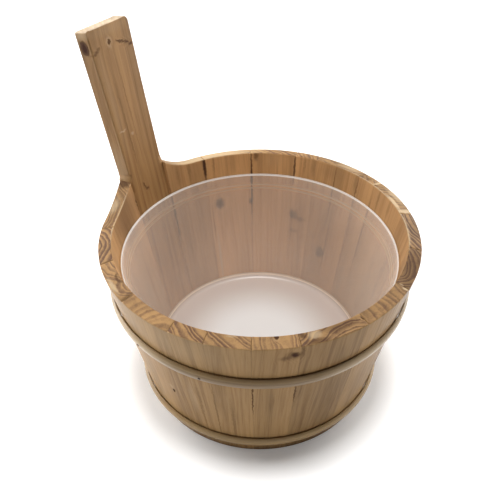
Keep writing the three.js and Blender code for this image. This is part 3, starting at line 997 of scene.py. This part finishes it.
# Brads
# Small steel nails that pin each hoop, two at the scarf and two more in the upper hoop at the
# front. Their domed heads stand just proud of the crown of the hoop.
brad_steel, tree, shader = new_material("brad steel")
shader.inputs["Metallic"].default_value = 1.0
place = shader_node(tree, "TexCoord", {}).outputs["Object"]
speckle = noise(tree, place, 2500, 3).outputs["Fac"]
rust = smooth_step(tree, speckle, 0.42, 0.62)
dull_steel = (0.085, 0.060, 0.044, 1)
rusty_steel = (0.040, 0.022, 0.014, 1)
tree.links.new(mix(tree, rust, dull_steel, rusty_steel), shader.inputs["Base Color"])
tree.links.new(maths(tree, "MULTIPLY_ADD", rust, 0.3, 0.35), shader.inputs["Roughness"])

# Hoop that each is driven into, and its angle about the tub.
brad_places = {
    "upper_hoop_brad_1": ("upper_hoop", 167.2),
    "upper_hoop_brad_2": ("upper_hoop", 193.9),
    "upper_hoop_brad_3": ("upper_hoop", 14),
    "upper_hoop_brad_4": ("upper_hoop", 26),
    "lower_hoop_brad_1": ("lower_hoop", 39),
    "lower_hoop_brad_2": ("lower_hoop", 51),
}
head_radius = 0.0013
head_height = 0.0008
head_proud = 0.0004
head_ease = 0.00012
dome_height = 0.0004
dome_crown = (0.0009, -0.0001)
shank_radius = 0.0007
brad_length = 0.011
point_length = 0.0012
brad_sides = 20


def turn_wire(outline, centre, sides):
    """Turns an open outline of radius and height points full circle about an upright axis."""
    bm = bmesh.new()
    wire = [bm.verts.new(centre + Vector((radius, 0, height))) for radius, height in outline]
    for lower, upper in zip(wire, wire[1:]):
        bm.edges.new((lower, upper))
    spin(bm, centre, math.tau, sides, closed=True)
    bmesh.ops.remove_doubles(bm, verts=bm.verts, dist=1e-6)
    bmesh.ops.recalc_face_normals(bm, faces=bm.faces)
    return bm


for node_name, (hoop_name, degrees) in brad_places.items():
    outline = [(0, -brad_length), (shank_radius, point_length - brad_length)]
    outline += [(shank_radius, -head_height), (head_radius, -head_height)]
    outline += [(head_radius, -dome_height), dome_crown, (0, 0)]
    bm = turn_wire(outline, Vector((0, 0, 0)), brad_sides)
    ease(bm, sharp_edges(bm), head_ease, 2)
    angle = math.radians(degrees)
    crown = hoop_seat + hoop_proud + head_proud
    radius, height = wall_point(-crown, hoops[hoop_name][0] / math.cos(lean))
    outwards = board_frame(angle).col[1].to_3d()
    driven = outwards.to_track_quat("Z", "Y").to_matrix().to_4x4()
    seat = Matrix.Translation(around(radius, angle, height))
    bmesh.ops.transform(bm, verts=bm.verts, matrix=seat @ driven)
    make_piece(bm, node_name, "bucket", "brad_steel", brad_steel)

# Liner
# A loose cup of milky polypropylene that lifts out. A bead stiffens its lip, a step below the lip
# lets liners stack, and the floor is whiter than the wall.
liner_wall = 0.0014
lip_width = 0.0013
lip_height = 0.0020
lip_slope = 0.0005
lip_ease = 0.0007
lip_clearance = 0.0012
band_depth = 0.0103
band_taper = 0.0018
step_depth = 0.0032
step_width = 0.0012
step_ease = 0.0003
corner_radius = 0.006
corner_steps = 8
floor_rings = (0.03, 0.06)
liner_sides = 144
foot_clearance = 0.0035
liner_base = liner_low.z
liner_rim = liner_high.z
lip_radius = inner_radius(liner_rim) - lip_clearance
band_radius = lip_radius - lip_width
step_height = liner_rim - band_depth
step_foot = step_height - step_depth
band_foot = band_radius - band_taper
wall_top = band_foot - step_width
corner_top = liner_base + corner_radius
liner_floor = inner_radius(corner_top) - foot_clearance - corner_radius


def liner_shell(inset):
    """Points of the liner's floor and rounded corner, on its outside or a wall's thickness inside."""
    points = [(radius, liner_base + inset) for radius in (0, *floor_rings)]
    rounding = corner_radius - inset
    for step in range(corner_steps + 1):
        turned = math.pi / 2 * step / corner_steps
        across = liner_floor + rounding * math.sin(turned)
        points.append((across, corner_top - rounding * math.cos(turned)))
    return points


outline = liner_shell(0)
outline += [(wall_top, step_foot), (band_foot, step_height)]
outline += [(band_radius, liner_rim - lip_height), (lip_radius, liner_rim - lip_height + lip_slope)]
outline += [(lip_radius, liner_rim), (band_radius - liner_wall, liner_rim)]
outline += [(band_foot - liner_wall, step_height), (wall_top - liner_wall, step_foot)]
outline += reversed(liner_shell(liner_wall))
bm = turn_wire(outline, tub_axis, liner_sides)
ease(bm, [edge for edge in sharp_edges(bm) if above(liner_rim - 0.003)(edge)], lip_ease, 4)
bm.normal_update()
ease(bm, [edge for edge in sharp_edges(bm) if above(step_height - 0.008)(edge)], step_ease, 2)

milky, tree, shader = new_material("milky polypropylene")
place = shader_node(tree, "TexCoord", {}).outputs["Object"]
height = shader_node(tree, "SeparateXYZ", {0: place}).outputs["Z"]
middle = vector_maths(tree, "SUBTRACT", place, tub_axis)
radius = vector_maths(tree, "LENGTH", vector_maths(tree, "MULTIPLY", middle, (1, 1, 0)))

# Where its floor, its lip and the two lines of its step are, and the ring round the floor; the ring and
# the two lines are painted highlights.
floor_edge = liner_base + 0.0045
floor_share = smooth_step(tree, height, floor_edge, floor_edge - 0.0020)
floor_middle = smooth_step(tree, radius, 0.086, 0.030)
ring_away = maths(tree, "ABSOLUTE", maths(tree, "SUBTRACT", height, floor_edge))
ring_highlight_share = smooth_step(tree, ring_away, 0.0015, 0.0004)
lip_share = smooth_step(tree, radius, band_radius, lip_radius - lip_ease)
step_highlight_share = None
for line_height in (step_height, step_foot):
    away = maths(tree, "ABSOLUTE", maths(tree, "SUBTRACT", height, line_height))
    line = smooth_step(tree, away, 0.0008, 0.0002)
    step_highlight_share = maths(tree, "MAXIMUM", step_highlight_share, line) if step_highlight_share else line

# How milky each of them is. The wall is milkier where it is seen at a slant, and a little lower down.
wall_milk = 0.190
slant_milk = 0.09
low_milk = 0.05
cloud_milk = 0.03
step_highlight_milk = 0.10
floor_milk = 0.72
middle_milk = 0.10
lip_milk = 0.82
ring_highlight_milk = 0.62
shadow_loss = 0.75
cloud = noise(tree, place, 30, 2).outputs["Fac"]
low_share = smooth_step(tree, height, liner_rim, liner_base)
facing = shader_node(tree, "LayerWeight", {"Blend": 0.5}).outputs["Facing"]
slant = maths(tree, "POWER", facing, 2)
wall_alpha = maths(tree, "MULTIPLY_ADD", slant, slant_milk, wall_milk)
wall_alpha = maths(tree, "MULTIPLY_ADD", low_share, low_milk, wall_alpha)
wall_alpha = maths(tree, "MULTIPLY_ADD", cloud, cloud_milk, wall_alpha)
line_alpha = maths(tree, "MULTIPLY_ADD", step_highlight_share, step_highlight_milk, wall_alpha)
whole_floor = maths(tree, "MULTIPLY_ADD", floor_middle, middle_milk, floor_milk)
dense = maths(tree, "MULTIPLY", floor_share, whole_floor)
dense = maths(tree, "MAXIMUM", dense, maths(tree, "MULTIPLY", lip_share, lip_milk))
dense = maths(tree, "MAXIMUM", dense, maths(tree, "MULTIPLY", ring_highlight_share, ring_highlight_milk))
cover = maths(tree, "MAXIMUM", line_alpha, dense)
lighting = shader_node(tree, "LightPath", {}).outputs["Is Shadow Ray"]
shade = maths(tree, "MULTIPLY_ADD", lighting, -shadow_loss, 1)
tree.links.new(maths(tree, "MULTIPLY", cover, shade), shader.inputs["Alpha"])

# The milk's colour at each place, laid over what comes before it, with the step's two lines and the
# ring round the floor as painted highlights.
# Painted shade: the floor's colour darkens towards its edge.
floor_colour_with_edge_shade = mix(tree, floor_middle, (0.47, 0.40, 0.36, 1), (0.66, 0.65, 0.64, 1))
milk = mix(tree, floor_share, (0.88, 0.80, 0.73, 1), floor_colour_with_edge_shade)
milk = mix(tree, lip_share, milk, (0.68, 0.65, 0.61, 1))
milk = mix(tree, step_highlight_share, milk, (1.0, 0.82, 0.62, 1))
milk = mix(tree, ring_highlight_share, milk, (0.98, 0.88, 0.77, 1))
tree.links.new(milk, shader.inputs["Base Color"])
scuff = noise(tree, place, 220, 3).outputs["Fac"]
tree.links.new(maths(tree, "MULTIPLY_ADD", scuff, 0.2, 0.25), shader.inputs["Roughness"])
moulding = shader_node(tree, "Bump", {"Height": scuff, "Strength": 0.1, "Distance": 0.0002})
tree.links.new(moulding.outputs["Normal"], shader.inputs["Normal"])
make_piece(bm, "liner", "liner", "liner_plastic", milky)

# Stage
# A pale seamless floor that keeps the soft shadow under the tub, in white surroundings.
floor_size = 12.0
floor_drop = 0.0002
floor_glow = 0.14
room_light = 0.12
bm = bmesh.new()
bmesh.ops.create_grid(bm, x_segments=1, y_segments=1, size=floor_size)
floor_mesh = bpy.data.meshes.new("floor")
bm.to_mesh(floor_mesh)
bm.free()
floor = add_object("floor", floor_mesh)
floor.location.z = -floor_drop
floor_paint, tree, shader = new_material("floor paint")
tree.nodes.remove(shader)
paint = shader_node(tree, "BsdfDiffuse", {"Color": (0.90, 0.90, 0.90, 1)})
seen = shader_node(tree, "LightPath", {}).outputs["Is Camera Ray"]
glow = shader_node(tree, "Emission", {"Strength": maths(tree, "MULTIPLY", seen, floor_glow)})
both = shader_node(tree, "AddShader", {0: paint.outputs[0], 1: glow.outputs[0]})
tree.links.new(both.outputs[0], tree.nodes["Material Output"].inputs["Surface"])
floor_mesh.materials.append(floor_paint)

world = bpy.data.worlds.new("studio")
bpy.context.scene.world = world
world.use_nodes = True
tree = world.node_tree
paths = shader_node(tree, "LightPath", {}).outputs
mirrored = maths(tree, "MAXIMUM", paths["Is Glossy Ray"], paths["Is Transmission Ray"])
seen = maths(tree, "MAXIMUM", paths["Is Camera Ray"], mirrored)
strength = maths(tree, "MULTIPLY_ADD", seen, 1 - room_light, room_light)
tree.links.new(strength, tree.nodes["Background"].inputs["Strength"])
tree.nodes["Background"].inputs["Color"].default_value = (1, 1, 1, 1)


lit_height = 0.1


def add_lamp(name, kind, place, energy, size):
    """Lamp that looks at the middle of the tub from a place about it."""
    lamp = bpy.data.lights.new(name, kind)
    lamp.energy = energy
    if kind == "SUN":
        lamp.angle = size
    else:
        lamp.size = size
    holder = add_object(name, lamp)
    holder.location = tub_axis + Vector(place)
    aim = tub_axis + Vector((0, 0, lit_height)) - holder.location
    holder.rotation_euler = aim.to_track_quat("-Z", "Y").to_euler()


add_lamp("ceiling", "SUN", (-0.02, -0.02, 1.6), 2.85, math.radians(14))
add_lamp("left softbox", "AREA", (-0.17, 0.985, 0.40), 15, 0.8)
add_lamp("right softbox", "AREA", (0.95, -0.31, 0.33), 11.5, 0.8)

# Camera
# The photograph looks down on the tub from its front left, with the handle at the back left.
view_turn = math.radians(-55.0)
view_drop = math.radians(39.19)
view_roll = math.radians(-0.572)
camera_data = bpy.data.cameras.new("camera")
camera_data.sensor_width = 36
camera_data.lens = 46.38
camera = add_object("camera", camera_data)
stand = Vector((-0.00797, -0.4238, 0.4826))
stand.rotate(Euler((0, 0, view_turn)))
aim = Euler((math.pi / 2 - view_drop, 0, view_turn)).to_matrix() @ Matrix.Rotation(view_roll, 3, "Z")
camera.matrix_world = Matrix.Translation(tub_axis + stand) @ aim.to_4x4()
bpy.context.scene.camera = camera
bpy.context.scene.view_settings.view_transform = "Standard"
